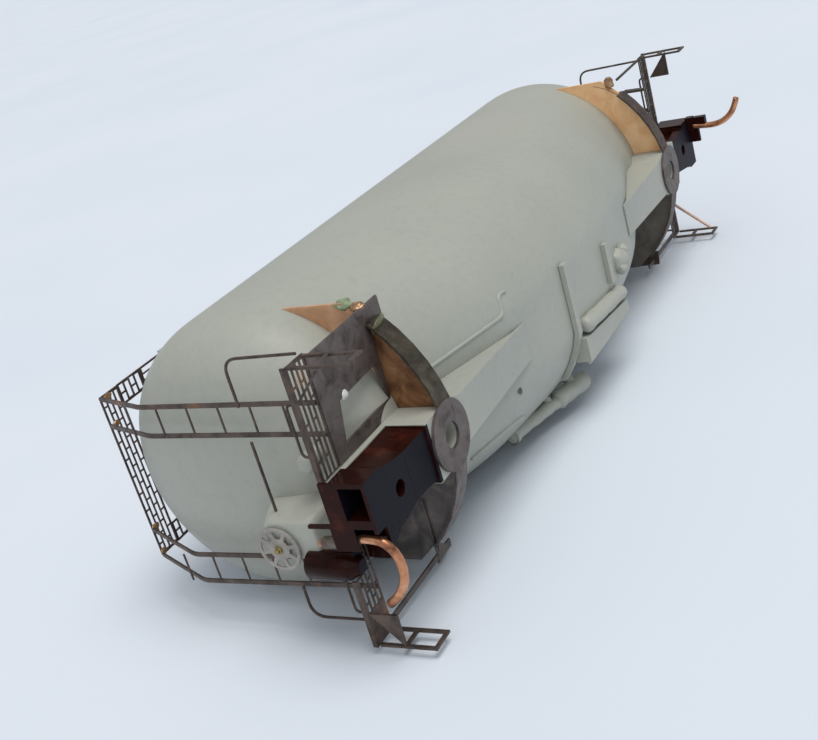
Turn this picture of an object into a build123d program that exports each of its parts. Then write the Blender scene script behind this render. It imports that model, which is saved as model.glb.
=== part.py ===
from build123d import *
import math
import os

os.makedirs("parts", exist_ok=True)

# Driving sizes in millimetres, in the upright car frame:
# X along the car, the brake end at +X, Y across, Z up
FIT = 0.02
TANK_R = 19.0
TANK_LOW = 7.4
TANK_HALF = 48.4
HEAD_DEEP = 12.0
HEAD_POWER = 2.35
HEAD_STEPS = 5
KEY_WIDE = 8.0
KEY_LONG = 3.0
TANK_Z = TANK_LOW + TANK_R
CROWN = TANK_Z + TANK_R
HEAD_TIP = TANK_HALF + HEAD_DEEP

# Belly under the tank: the height of its flat bottom strip at each place along the car
BELLY_END_X = TANK_HALF - 6.4
BELLY_KNEE_X = TANK_HALF - 23.1
BELLY_MID_X = TANK_HALF - 38.0
BELLY_END_Z = TANK_LOW + 0.05
BELLY_KNEE_Z = TANK_LOW - 4.9
BELLY_MID_Z = TANK_LOW - 6.4
STRIP_HALF = 5.2
BEAD_R = 0.22
RIB_HIGH = 0.75

# Bolsters, centre plates and stub sills
BOLSTER_X = TANK_HALF - 0.3
PLATE_Z = TANK_LOW - 5.8
PLATE_R = 4.4
PLATE_THICK = 0.4
SCREW_R = 1.65
SCREW_DEEP = 4.0
WEB_THICK = 0.4
WEB_OUT = TANK_R - 1.2
WEB_TOP = TANK_Z - 5.4
FLANGE_R = 21.25
FLANGE_Z = PLATE_Z + 21.0
FLANGE_IN = BOLSTER_X - 2.0
FLANGE_OUT = BOLSTER_X + 1.15
FLANGE_THICK = 0.3
FLANGE_STEPS = 5
SILL_HALF = 3.9
SILL_NOSE_HALF = 3.1
SILL_TIP_HALF = 2.6
SILL_TIP_X = TANK_HALF - 25.8
SILL_BOTTOM = PLATE_Z + PLATE_THICK

# End platforms and the decks that join them to the webs
PLATFORM_TOP = TANK_LOW + 1.1
PLATFORM_THICK = 0.4
PLATFORM_IN = HEAD_TIP + 1.4
PLATFORM_WIDE = 3.9
PLATFORM_OUT = PLATFORM_IN + PLATFORM_WIDE
PLATFORM_LOW = PLATFORM_TOP - PLATFORM_THICK
PLATFORM_SIDE = TANK_R - 1.1
PLATFORM_LIP = 0.7
LIP_THICK = 0.3
SLOT_WIDE = 0.65
BAR_WIDE = 0.28
DECK_THICK = 0.3
DECK_INNER_X = BOLSTER_X - 3.0
DECK_SIDE = PLATFORM_SIDE - 0.6
DECK_STRIP = DECK_SIDE - 2.5
DECK_BAR = DECK_SIDE - 0.7

# Coupler boxes
BOX_OUT = PLATFORM_OUT + 0.8
BOX_IN = BOLSTER_X + 4.6
BOX_BOTTOM = PLATE_Z + 1.05
BOX_TOP = PLATFORM_TOP - 1.2
BOX_HALF = SILL_HALF + 0.5
BOX_FLOOR = 0.45
BOX_SCREW_X = BOX_OUT - 6.5
BOX_SCREW_R = 1.0
POCKET_DEEP = 5.5
POCKET_HIGH = 3.0
FACE_THICK = 0.45
FIN_LEFT = -0.9
FIN_RIGHT = -1.3
TONGUE_OUT = BOX_OUT - FACE_THICK

# End ladders, handrails and low grab bars
LADDER_X = PLATFORM_IN + 0.1
LADDER_THICK = 0.35
LADDER_IN = 7.95
LADDER_WIDE = 3.9
LADDER_OUT = LADDER_IN + LADDER_WIDE
RAIL_WIDE = 0.6
RUNG_COUNT = 6
RUNG_WIDE = 0.3
BEND_STEPS = 4
HOOP_WIDE = 0.45
HOOP_THICK = 0.35
HOOP_X = PLATFORM_IN + 0.85
HOOP_TOP = PLATFORM_TOP + 10.1
HOOP_BEND = 1.8
HOOP_LEFT = PLATFORM_SIDE - 0.6
HOOP_RIGHT = PLATFORM_SIDE - 1.5
GRAB_HIGH = 1.6
GRAB_IN = PLATFORM_SIDE - 10.9
GRAB_OUT = PLATFORM_SIDE - 4.5
GRAB_WIRE = 0.35

# Roof boards and hatches
BOARD_Z = CROWN - 1.0
BOARD_THICK = 0.4
BOARD_WIDE = 3.6
BOARD_END_OUT = HEAD_TIP - 2.6
BOARD_END_IN = BOARD_END_OUT - BOARD_WIDE
BOARD_SIDE_IN = LADDER_IN + 1.05
BOARD_SIDE_OUT = BOARD_SIDE_IN + BOARD_WIDE
HATCH_R = 3.3
HATCH_HIGH = 0.8

# Brake gear at the near end
WHEEL_R = 3.1
WHEEL_X = PLATFORM_OUT - 0.7
WHEEL_Y = -5.2
WHEEL_Z = PLATFORM_TOP + 9.7
WHEEL_THICK = 0.4
RIM_WIDE = 0.45
HUB_R = 1.15
SPOKE_WIDE = 0.4
CYLINDER_R = 1.85
CYLINDER_X = LADDER_X + 1.75
CYLINDER_Y = WHEEL_Y - 2.9
CYLINDER_LOW = PLATFORM_TOP + 1.85
CYLINDER_TOP = PLATFORM_TOP + 7.0

# Hoses and piping
HOSE_R = 0.55
HOSE_X = TONGUE_OUT - HOSE_R - 0.1
HOSE_Y = -3.4
SLEEVE_R = 0.95
PIPE_R = 0.95
COUPLING_R = 1.35
DRAIN_R = 1.15


def block(x0, x1, y0, y1, z0, z1):
    solid = Box(abs(x1 - x0), abs(y1 - y0), abs(z1 - z0))
    return Pos((x0 + x1) / 2, (y0 + y1) / 2, (z0 + z1) / 2) * solid


def bent(points, bend, section):
    line = Polyline(*points)
    ends = [Vector(*points[0]), Vector(*points[-1])]
    inner = [v for v in line.vertices() if min((Vector(*v) - e).length for e in ends) > 0.01]
    if inner and bend:
        line = fillet(inner, bend)
    start = Plane(origin=points[0], z_dir=Vector(*points[1]) - Vector(*points[0]))
    return sweep(start * section, path=line)


def yz_plate(points, x0, x1):
    face = make_face(Polyline(*[(x0, y, z) for y, z in points], close=True))
    return extrude(face, x1 - x0, dir=(1, 0, 0))


def xy_plate(points, z0, z1):
    face = make_face(Polyline(*[(x, y, z0) for x, y in points], close=True))
    return extrude(face, z1 - z0, dir=(0, 0, 1))


def both_sides(points):
    return points + [(x, -y) for x, y in reversed(points)]


def slots(x0, x1, rows, y0, y1, lengths, tie):
    # Long slots side by side across x, split along y by ties
    bar = (x1 - x0 - rows * SLOT_WIDE) / (rows - 1)
    long = (y1 - y0 - (lengths - 1) * tie) / lengths
    cut = []
    for i in range(rows):
        x = x0 + i * (SLOT_WIDE + bar)
        for k in range(lengths):
            y = y0 + k * (long + tie)
            cut.append(Pos(x + SLOT_WIDE / 2, y + long / 2) * Rectangle(SLOT_WIDE, long))
    return Sketch() + cut


def bar(a, b, radius, sides):
    v = Vector(*b) - Vector(*a)
    return extrude(Plane(origin=a, z_dir=v) * RegularPolygon(radius, sides), v.length)


def strip_z(x):
    stations = ((BELLY_MID_X, BELLY_MID_Z), (BELLY_KNEE_X, BELLY_KNEE_Z), (BELLY_END_X, BELLY_END_Z))
    x = abs(x)
    if x <= BELLY_MID_X:
        return BELLY_MID_Z
    for (x0, z0), (x1, z1) in zip(stations, stations[1:]):
        if x <= x1:
            return z0 + (x - x0) / (x1 - x0) * (z1 - z0)
    return BELLY_END_Z


STRIP_RISE = TANK_R - math.sqrt(TANK_R ** 2 - STRIP_HALF ** 2)


def belly_z(x, y):
    # Height of the belly's skin at a place under the tank
    low = strip_z(x) - STRIP_RISE + TANK_R
    return max(strip_z(x), low - math.sqrt(TANK_R ** 2 - y ** 2))


def body(grow):
    # Upper half a true cylinder, lower half the same radius dropped to the belly, cut flat below
    radius = TANK_R + grow
    sections = []
    for x in (-TANK_HALF, -BELLY_END_X, -BELLY_KNEE_X, -BELLY_MID_X,
              BELLY_MID_X, BELLY_KNEE_X, BELLY_END_X, TANK_HALF):
        end = abs(x) == TANK_HALF
        low = TANK_Z - 0.01 if end else strip_z(x) - STRIP_RISE + TANK_R
        flat = low - math.sqrt(TANK_R ** 2 - STRIP_HALF ** 2) - grow
        half = math.sqrt(radius ** 2 - (low - flat) ** 2)
        a = math.atan2(low - flat, half) / 2
        swing_y, swing_z = radius * math.cos(a), low - radius * math.sin(a)
        right = ThreePointArc((x, -radius, low), (x, -swing_y, swing_z), (x, -half, flat))
        left = ThreePointArc((x, half, flat), (x, swing_y, swing_z), (x, radius, low))
        if end:
            floor = ThreePointArc((x, -half, flat), (x, 0, low - radius), (x, half, flat))
        else:
            floor = Line((x, -half, flat), (x, half, flat))
        down = Line((x, -radius, TANK_Z), (x, -radius, low))
        up = Line((x, radius, low), (x, radius, TANK_Z))
        lid = Line((x, radius, TANK_Z), (x, -radius, TANK_Z))
        sections.append(make_face([down, right, floor, left, up, lid]))
    x = -TANK_HALF
    arch = ThreePointArc((x, -radius, TANK_Z), (x, 0, TANK_Z + radius), (x, radius, TANK_Z))
    upper = make_face([arch, Line((x, radius, TANK_Z), (x, -radius, TANK_Z))])
    return loft(sections, ruled=True) + extrude(upper, 2 * TANK_HALF, dir=(1, 0, 0))


def head_solid(radius, deep):
    points = [(TANK_HALF, 0, 0)]
    for i in range(HEAD_STEPS + 1):
        a = math.pi / 2 * i / HEAD_STEPS
        x = deep * math.sin(a) ** (2 / HEAD_POWER)
        r = radius * math.cos(a) ** (2 / HEAD_POWER) if i < HEAD_STEPS else 0
        points.append((TANK_HALF + x, 0, r))
    return Pos(0, 0, TANK_Z) * revolve(make_face(Polyline(*points, close=True)), Axis.X)


def flange_arc(radius, start, end):
    # Points of the bolster's curved bottom edge; start and end are distances across
    a, b = math.asin(start / radius), math.asin(end / radius)
    turns = [a + (b - a) * i / FLANGE_STEPS for i in range(FLANGE_STEPS + 1)]
    return [(radius * math.sin(t), FLANGE_Z - radius * math.cos(t)) for t in turns]


def keep(name, shape, far=False, flip=False):
    if far:
        shape = mirror(shape, Plane.YZ)
    if flip:
        shape = mirror(shape, Plane.XZ)
    nodes[name] = shape


ENDS = (("near", False), ("far", True))
SIDES = (("left", False), ("right", True))
PLATE_CORNER = ("near", "left")
nodes = {}
hull = body(FIT)
full = hull + head_solid(TANK_R + FIT, HEAD_DEEP + FIT)

# Tank casting with its belly, the seats of the roof boards, the hatches and the bead of each slope
barrel = body(0)
seat_step = (TANK_HALF - 3.4) / 2
board_low = BOARD_Z - BOARD_THICK
for i in range(-2, 3):
    x = i * seat_step
    for side in (1, -1):
        y0, y1 = side * (BOARD_SIDE_IN + 0.2), side * (BOARD_SIDE_OUT - 0.2)
        barrel = barrel + block(x - 0.6, x + 0.6, y0, y1, TANK_Z + TANK_R / 2, board_low - FIT)
hatch_top = CROWN + HATCH_HIGH
for i in (-3, -1, 1, 3):
    x = i * TANK_HALF / 4.4
    barrel = barrel + bar((x, 0, CROWN - 0.5), (x, 0, hatch_top), HATCH_R, 20)
    reach = HATCH_R + 0.5
    barrel = barrel + block(x - 0.3, x + 0.3, -reach, reach, CROWN - 0.5, hatch_top + 0.3)
for far in (1, -1):
    for side in (1, -1):
        hook = BELLY_KNEE_X + 0.3
        bead = [(far * x, side * STRIP_HALF, strip_z(x)) for x in (BELLY_END_X - 2.5, BELLY_KNEE_X)]
        bead += [(far * hook, side * y, belly_z(hook, y)) for y in (STRIP_HALF + 1.6, STRIP_HALF + 3.2)]
        for a, b in zip(bead, bead[1:]):
            barrel = barrel + bar(a, b, BEAD_R, 6)
    inner = TANK_HALF - KEY_LONG
    half = KEY_WIDE / 2
    barrel = barrel - block(far * inner, far * (TANK_HALF + 1), -half, half, TANK_Z - half, TANK_Z + half)
keep("tank_barrel", barrel)
head = head_solid(TANK_R, HEAD_DEEP)
half = KEY_WIDE / 2 - FIT
head = head + block(TANK_HALF - KEY_LONG + FIT, TANK_HALF + 1, -half, half, TANK_Z - half, TANK_Z + half)
boss_z = PLATFORM_TOP + 5.4
boss = bar((HEAD_TIP - 4.4, 3.4, boss_z), (HEAD_TIP + 0.6, 3.4, boss_z), 1.2, 16)
keep("tank_head_near", head + (boss - head))
keep("tank_head_far", head, far=True)

# Stub sills: a tapered nose under the slope of the belly, the bolster block and a tongue over the coupler box
nose = both_sides([(SILL_TIP_X, SILL_TIP_HALF), (BOLSTER_X - 4.1, SILL_NOSE_HALF),
                   (BOLSTER_X - 2.1, SILL_HALF), (BOX_IN - FIT, SILL_HALF)])
sill_top = PLATFORM_LOW - FIT
pocket_back = BOX_OUT - POCKET_DEEP
stub = xy_plate(nose, SILL_BOTTOM, sill_top)
stub = stub + block(BOX_IN - 1, TONGUE_OUT, -SILL_HALF, SILL_HALF, BOX_TOP + FIT, sill_top)
stub = stub - block(pocket_back, TONGUE_OUT + 1, -SILL_HALF - 1, FIN_RIGHT, BOX_TOP, sill_top + 1)
stub = stub - full
stub = stub - Pos(BOLSTER_X, 0, SILL_BOTTOM + SCREW_DEEP / 2 - 0.5) * Cylinder(SCREW_R, SCREW_DEEP + 1)
keep("stub_sill_near", stub)
keep("stub_sill_far", stub, far=True, flip=True)

# Coupler boxes: a floor that narrows toward the bolster, a square pocket and an open half under a roof
plan = [(BOX_IN, SILL_HALF - 1.5), (BOX_SCREW_X - 2.0, SILL_HALF - 0.7),
        (BOX_OUT - 4.2, SILL_HALF), (BOX_OUT - 3.3, BOX_HALF), (BOX_OUT, BOX_HALF)]
coupler = xy_plate(both_sides(plan), BOX_BOTTOM, BOX_TOP)
face_in = TONGUE_OUT + FIT
coupler = coupler + block(face_in, BOX_OUT, FIN_LEFT, BOX_HALF, BOX_TOP - 0.1, PLATFORM_TOP)
coupler = coupler + block(face_in, BOX_OUT, FIN_RIGHT, FIN_LEFT, BOX_TOP - 1, PLATFORM_TOP + 3.1)
floor_top = BOX_BOTTOM + BOX_FLOOR
coupler = coupler - block(pocket_back, BOX_OUT + 1, -0.2, BOX_HALF - 0.6, floor_top, floor_top + POCKET_HIGH)
coupler = coupler - block(pocket_back, BOX_OUT + 1, -BOX_HALF - 1, FIN_RIGHT, floor_top, BOX_TOP + 1)
notch_in = BOX_OUT - 1.9
coupler = coupler - block(notch_in, BOX_OUT + 1, -BOX_HALF - 1, FIN_RIGHT - 0.6, 0, BOX_TOP)
coupler = coupler - Pos(BOX_SCREW_X, 0, BOX_BOTTOM) * Cylinder(BOX_SCREW_R, 5)
for y in (SILL_HALF - 1.0, -SILL_HALF - 2.0):
    recess = block(BOX_SCREW_X - 3, BOX_SCREW_X + 1, y, y + 3, BOX_BOTTOM + 1.4, BOX_TOP - 1.0)
    coupler = coupler - recess
roof_in = pocket_back + FIT
roof = block(roof_in, TONGUE_OUT, -SILL_HALF, FIN_RIGHT - FIT, BOX_TOP, sill_top)
hose_gap = HOSE_R + 0.15
roof = roof - block(HOSE_X - hose_gap, BOX_OUT, -TANK_R, HOSE_Y + hose_gap, 0, CROWN)
wall = block(roof_in, roof_in + FACE_THICK, -SILL_HALF, FIN_RIGHT - FIT, floor_top - 0.1, sill_top)
coupler = coupler + wall + roof
keep("coupler_box_near", coupler)
keep("coupler_box_far", coupler, far=True, flip=True)

# Centre plates
disc = Cylinder(PLATE_R, PLATE_THICK) - Cylinder(SCREW_R, 2)
disc = Pos(BOLSTER_X, 0, PLATE_Z + PLATE_THICK / 2) * disc
keep("centre_plate_near", disc)
keep("centre_plate_far", disc, far=True)

# Bolster webs with curved bottom flanges, one each side
root = SILL_HALF + FIT
flange_end = DECK_STRIP + 0.4
seat_r = FLANGE_R - FLANGE_THICK
edge = flange_arc(seat_r - FIT, root, flange_end)
corner_z = edge[-1][1] + 2.9
web_outline = edge + [(WEB_OUT, corner_z), (WEB_OUT, WEB_TOP), (root, WEB_TOP)]
web = yz_plate(web_outline, BOLSTER_X - WEB_THICK / 2, BOLSTER_X + WEB_THICK / 2) - hull
deck_low = PLATFORM_TOP - DECK_THICK - FIT
band = flange_arc(FLANGE_R, root, flange_end) + flange_arc(seat_r, root, flange_end)[::-1]
flange = yz_plate(band, FLANGE_IN, FLANGE_OUT)
flange = flange - Pos(BOLSTER_X, 0, PLATE_Z) * Cylinder(PLATE_R + FIT, 8)
for end, far in ENDS:
    for side, flip in SIDES:
        slot_y = (DECK_STRIP if (end, side) == PLATE_CORNER else DECK_BAR) - FIT
        slot = block(BOLSTER_X - 1, BOLSTER_X + 1, slot_y, DECK_SIDE + FIT, deck_low, PLATFORM_TOP + FIT)
        keep(f"bolster_web_{end}_{side}", web - slot, far, flip)
        keep(f"bolster_flange_{end}_{side}", flange, far, flip)

# End platforms: an etched grating with a lip on its outer edge
platform = block(PLATFORM_IN, PLATFORM_OUT, root, PLATFORM_SIDE, PLATFORM_LOW, PLATFORM_TOP)
grid = slots(PLATFORM_IN + BAR_WIDE, PLATFORM_OUT - 0.7, 3, root + 0.5, PLATFORM_SIDE - 4.7, 3, 0.35)
platform = platform - extrude(Pos(0, 0, PLATFORM_LOW - 1) * grid, 3)
lip_in = PLATFORM_OUT - LIP_THICK
lip_top = PLATFORM_TOP + PLATFORM_LIP
platform = platform + block(lip_in, PLATFORM_OUT, root, PLATFORM_SIDE, PLATFORM_LOW, lip_top)
hose_corner = block(HOSE_X - SLEEVE_R - FIT, BOX_OUT, root - 1, SLEEVE_R + 0.3 - HOSE_Y, 0, CROWN)

# Decks from the webs to the platforms: an open plate at one corner of the car, bars at the others
inner = PLATFORM_IN - FIT
strip_x = BOLSTER_X + 0.3
deck = xy_plate(
    [(DECK_INNER_X, DECK_SIDE), (inner, DECK_SIDE), (inner, root), (strip_x, root),
     (strip_x, DECK_STRIP), (DECK_INNER_X, DECK_STRIP)],
    PLATFORM_TOP - DECK_THICK, PLATFORM_TOP)
opening = [(strip_x + 1.4, SILL_HALF + 6.5), (PLATFORM_IN - 3.6, SILL_HALF + 6.3),
           (PLATFORM_IN - 2.4, SILL_HALF + 1.7), (strip_x + 0.5, SILL_HALF + 1.7)]
deck = deck - xy_plate(opening, PLATFORM_LOW - 1, PLATFORM_TOP + 1)
deck = deck - full
deck_bar = block(DECK_INNER_X, inner, DECK_BAR, DECK_SIDE, PLATFORM_TOP - DECK_THICK, PLATFORM_TOP)

# Sill steps, gussets and low grab bars
step_in, step_out = PLATFORM_IN + 0.2, PLATFORM_OUT - 0.2
step_low = PLATFORM_TOP - 7.9
step = block(step_in, step_out, PLATFORM_SIDE - 0.3, PLATFORM_SIDE, step_low, PLATFORM_LOW - FIT)
for z0, z1 in ((step_low + 0.5, step_low + 3.9), (step_low + 4.4, PLATFORM_TOP + 1)):
    step = step - block(step_in + 0.5, step_out - 0.5, PLATFORM_SIDE - 1, PLATFORM_SIDE + 1, z0, z1)
gusset_z = PLATFORM_LOW - FIT
gusset_in, gusset_low = PLATFORM_SIDE - 4.7, PLATFORM_TOP - 4.1
gusset = yz_plate([(gusset_in, gusset_z), (gusset_in, gusset_low), (PLATFORM_SIDE - 0.35, gusset_low)],
                  lip_in, PLATFORM_OUT)
foot = PLATFORM_TOP + FIT
grab_x, grab_z = lip_in - 0.25, PLATFORM_TOP + GRAB_HIGH
grab = bent([(grab_x, GRAB_IN, foot), (grab_x, GRAB_IN, grab_z), (grab_x, GRAB_OUT, grab_z),
             (grab_x, GRAB_OUT, foot)], 0.5, Rectangle(GRAB_WIRE, GRAB_WIRE))
for end, far in ENDS:
    for side, flip in SIDES:
        keep(f"platform_{end}_{side}", platform, far, flip)
        if (end, side) == ("near", "right"):
            keep(f"platform_{end}_{side}", platform - hose_corner, far, flip)
        keep(f"deck_{end}_{side}", deck if (end, side) == PLATE_CORNER else deck_bar, far, flip)
        keep(f"sill_step_{end}_{side}", step, far, flip)
        if (end, side) != ("far", "right"):
            keep(f"gusset_{end}_{side}", gusset, far, flip)
        keep(f"low_grab_{end}_{side}", grab, far, flip)

# End ladders: etched rails that bend in over the head to the roof board
reach = LADDER_X - BOARD_END_OUT
bend_z = BOARD_Z - 6.4
bend_r = (reach ** 2 + (BOARD_Z - bend_z) ** 2) / (2 * reach)
turn = math.acos(1 - reach / bend_r)
middle = LADDER_X - bend_r


def on_bend(radius):
    turns = [turn * i / BEND_STEPS for i in range(BEND_STEPS + 1)]
    return [(middle + radius * math.cos(t), 0, bend_z + radius * math.sin(t)) for t in turns]


front = LADDER_X + LADDER_THICK
outline = [(LADDER_X, 0, foot)] + on_bend(bend_r) + on_bend(bend_r + LADDER_THICK)[::-1] + [(front, 0, foot)]
rail = extrude(make_face(Polyline(*outline, close=True)), RAIL_WIDE, dir=(0, 1, 0))
ladder = Pos(0, LADDER_IN - RAIL_WIDE / 2, 0) * rail + Pos(0, LADDER_OUT - RAIL_WIDE / 2, 0) * rail
rung_first = PLATFORM_TOP + 4.5
rung_step = (bend_z - 2.0 - rung_first) / (RUNG_COUNT - 1)
for i in range(RUNG_COUNT):
    z = rung_first + rung_step * i
    ladder = ladder + block(LADDER_X, front, LADDER_IN, LADDER_OUT, z, z + RUNG_WIDE)
for end, far in ENDS:
    for side, flip in SIDES:
        keep(f"ladder_{end}_{side}", ladder, far, flip)

# Hooped end handrails
hoop = bent(
    [(HOOP_X, HOOP_LEFT, foot), (HOOP_X, HOOP_LEFT, HOOP_TOP), (HOOP_X, -HOOP_RIGHT, HOOP_TOP),
     (HOOP_X, -HOOP_RIGHT, foot)],
    HOOP_BEND, Rectangle(HOOP_WIDE, HOOP_THICK))
keep("handrail_near", hoop)
keep("handrail_far", hoop, far=True)

# Roof boards: slotted along the sides, slotted across at the ends
side_board = block(-BOARD_END_IN, BOARD_END_IN, BOARD_SIDE_IN, BOARD_SIDE_OUT, board_low, BOARD_Z)
long_half = BOARD_END_IN - 0.6
grid = slots(-BOARD_SIDE_OUT + BAR_WIDE, -BOARD_SIDE_IN - BAR_WIDE, 3, -long_half, long_half, 6, 0.8)
grid = Rotation(0, 0, -90) * grid
side_board = side_board - extrude(Pos(0, 0, board_low - 1) * grid, 3)
keep("running_board_left", side_board)
keep("running_board_right", side_board, flip=True)
end_half = LADDER_OUT - 0.05
end_board = block(BOARD_END_IN + FIT, BOARD_END_OUT, -end_half, end_half, board_low, BOARD_Z)
grid = slots(BOARD_END_IN + BAR_WIDE, BOARD_END_OUT - BAR_WIDE, 3, -end_half + 0.5, end_half - 0.5, 4, 0.6)
end_board = end_board - extrude(Pos(0, 0, board_low - 1) * grid, 3)
keep("running_board_near", end_board)
keep("running_board_far", end_board, far=True)

# Brake housing, tapered toward the wheel and drilled for the handrail, and the wheel with its eight windows
across = Plane.YZ
face_x = WHEEL_X - 0.6
back = across.offset(HEAD_TIP - 1.8) * Pos(WHEEL_Y + 0.6, WHEEL_Z - 1.6) * Rectangle(6.8, 9.6)
face = across.offset(face_x) * Pos(WHEEL_Y + 0.8, WHEEL_Z - 1.8) * Rectangle(5.0, 7.2)
housing = loft([back, face], ruled=True)
rail_edge = RAIL_WIDE / 2 + FIT - LADDER_IN
housing = housing - block(LADDER_X - FIT, PLATFORM_OUT, -PLATFORM_SIDE, rail_edge, 0, CROWN)
high = CYLINDER_TOP - CYLINDER_LOW
air_tank = Pos(CYLINDER_X, CYLINDER_Y, CYLINDER_LOW + high / 2) * Cylinder(CYLINDER_R, high)
housing = housing - Pos(CYLINDER_X, CYLINDER_Y, 0) * Cylinder(CYLINDER_R + FIT, 2 * (CYLINDER_TOP + FIT))
wide, thick = HOOP_WIDE / 2 + FIT, HOOP_THICK / 2 + FIT
housing = housing - block(HOOP_X - wide, HOOP_X + wide, -TANK_R, TANK_R, HOOP_TOP - thick, HOOP_TOP + thick)
housing = housing - head_solid(TANK_R + FIT, HEAD_DEEP + FIT)
keep("brake_housing", housing)
turned = across.offset(WHEEL_X - WHEEL_THICK / 2) * Pos(WHEEL_Y, WHEEL_Z)
windows = Circle(WHEEL_R - RIM_WIDE) - Circle(HUB_R)
for i in range(4):
    windows = windows - Rotation(0, 0, 45 * i + 12) * Rectangle(2 * WHEEL_R, SPOKE_WIDE)
wheel = extrude(turned * (Circle(WHEEL_R) - windows), WHEEL_THICK)
pin = bar((face_x + FIT, WHEEL_Y, WHEEL_Z), (WHEEL_X + 0.7, WHEEL_Y, WHEEL_Z), RIM_WIDE, 12)
keep("brake_wheel", wheel + pin)

# Brake cylinder on a tapered foot on the platform, flat behind against the ladder
cylinder = air_tank - block(TANK_HALF, front + FIT, -TANK_R, TANK_R, 0, CROWN)
saddle_z = CYLINDER_LOW + 0.1
foot_outline = [(CYLINDER_Y + 1.3, foot), (CYLINDER_Y + 0.3, foot), (CYLINDER_Y - 1.2, saddle_z),
                (CYLINDER_Y + 1.2, saddle_z)]
cylinder = cylinder + yz_plate(foot_outline, front + FIT, CYLINDER_X + 0.5)
keep("brake_cylinder", cylinder)

# Train hoses through the box roofs, the near one with a sleeve; columns y, z
hose_top = PLATFORM_TOP + 3.1
NEAR_HOSE = ((HOSE_Y - 0.35, hose_top), (HOSE_Y + 0.2, 1.6), (-8.4, 1.6), (-12.1, 5.2))
FAR_HOSE = ((-HOSE_Y, PLATFORM_TOP + 0.5), (2.3, -2.4), (4.2, -5.8), (6.9, -7.2))
for name, route, sign, turn_r in (("near", NEAR_HOSE, 1, 2.3), ("far", FAR_HOSE, -1, 1.7)):
    line = [(sign * HOSE_X, y, z) for y, z in route]
    nodes["train_hose_" + name] = bent(line, turn_r, RegularPolygon(HOSE_R, 8))
sleeve = bar((HOSE_X, HOSE_Y - 0.2, sill_top + FIT), (HOSE_X, HOSE_Y - 0.3, hose_top - 0.5), SLEEVE_R, 12)
bore = bar((HOSE_X, HOSE_Y - 0.12, 0), (HOSE_X, HOSE_Y - 0.4, 20), HOSE_R + 0.1, 12)
keep("hose_sleeve_near", sleeve - bore)
wire_x = 0.5 - WHEEL_X
wire_top = (wire_x, -11.8, PLATFORM_LOW - FIT - 0.1)
wire_end = (wire_x, 0.6 - PLATFORM_SIDE, step_low + 1.1)
nodes["step_wire_far"] = bar(wire_top, wire_end, 0.3, 6)

# Discharge piping along the right side of the belly; columns start, end, radius
RUNS = (
    ((21.2, -14.9, 8.3), (10.4, -15.6, 5.9), PIPE_R),
    ((10.6, -15.3, 5.7), (3.5, -15.4, 3.9), COUPLING_R),
    ((22.2, -14.85, 8.5), (21.2, -14.9, 8.3), COUPLING_R),
)
pipe = Part() + [bar(start, end, radius, 16) for start, end, radius in RUNS]
for x, y, z in ((18.0, -15.1, 7.6), (12.0, -15.5, 6.3), (6.0, -15.3, 4.6)):
    pipe = pipe + (bar((x, y, z), (x, y * 0.72, z + 4.4), 0.7, 8) - hull)
keep("discharge_pipe", pipe - hull)
drain = bar((6.4, -5.3, 0.45), (-10.4, -7.2, 0.8), DRAIN_R, 16)
drain = drain - bar((6.6, -5.3, 0.45), (3.0, -5.7, 0.5), DRAIN_R * 0.7, 16)
keep("drain_pipe", drain - hull)
tray = xy_plate([(8.2, -6.7), (-10.4, -8.6), (-10.4, -10.4), (8.2, -10.4)], 0.0, 8.0) - hull
keep("drain_tray", tray)

# Cross ribs of the belly, each following it a little proud
rib_body = body(RIB_HIGH) - hull
near_rib = rib_body & block(8.3, 9.7, -12.5, 5.4, -3, 12)
far_rib = rib_body & block(-7.9, -6.6, -4.4, 2.0, -3, 12)
near_rib = near_rib - nodes["drain_pipe"] - nodes["drain_tray"]
keep("belly_rib_near", near_rib)
keep("belly_rib_far", far_rib - nodes["drain_pipe"])
valve = block(-15.2, -11.0, -5.2, -0.8, -0.6, 4.0) - hull
keep("outlet_valve_far", valve)

# Lying pose of the stored part
lie = Rotation(90, 0, 0)
placed = {name: lie * shape for name, shape in nodes.items()}
boxes = [shape.bounding_box() for shape in placed.values()]
mid_x = (min(b.min.X for b in boxes) + max(b.max.X for b in boxes)) / 2
mid_y = (min(b.min.Y for b in boxes) + max(b.max.Y for b in boxes)) / 2
shift = Pos(-mid_x, -mid_y, -min(b.min.Z for b in boxes))
for name, shape in placed.items():
    export_step(shift * shape, f"parts/{name}.step")
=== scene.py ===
import bmesh
import bpy
import math
from mathutils import Matrix, Vector, noise


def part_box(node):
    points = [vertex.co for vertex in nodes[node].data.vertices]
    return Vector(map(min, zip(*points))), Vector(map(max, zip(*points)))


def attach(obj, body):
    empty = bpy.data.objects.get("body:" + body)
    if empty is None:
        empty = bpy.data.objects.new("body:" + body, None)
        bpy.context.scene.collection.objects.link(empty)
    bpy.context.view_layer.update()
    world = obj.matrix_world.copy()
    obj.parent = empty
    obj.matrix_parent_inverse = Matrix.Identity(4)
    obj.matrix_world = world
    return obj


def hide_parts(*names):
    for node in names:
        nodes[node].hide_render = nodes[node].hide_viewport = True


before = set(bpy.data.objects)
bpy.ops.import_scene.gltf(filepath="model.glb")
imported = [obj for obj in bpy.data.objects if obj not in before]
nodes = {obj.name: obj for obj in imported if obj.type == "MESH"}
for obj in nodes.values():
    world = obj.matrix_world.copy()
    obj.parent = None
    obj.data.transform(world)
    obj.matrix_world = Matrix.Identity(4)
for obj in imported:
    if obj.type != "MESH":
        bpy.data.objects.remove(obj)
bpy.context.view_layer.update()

# The car frame of the build: millimetres, X along the car, Y across, Z up.
# The stored part lies on its side, so a turn about X and a shift carry it into the row frame.
MM = 0.001
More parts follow.
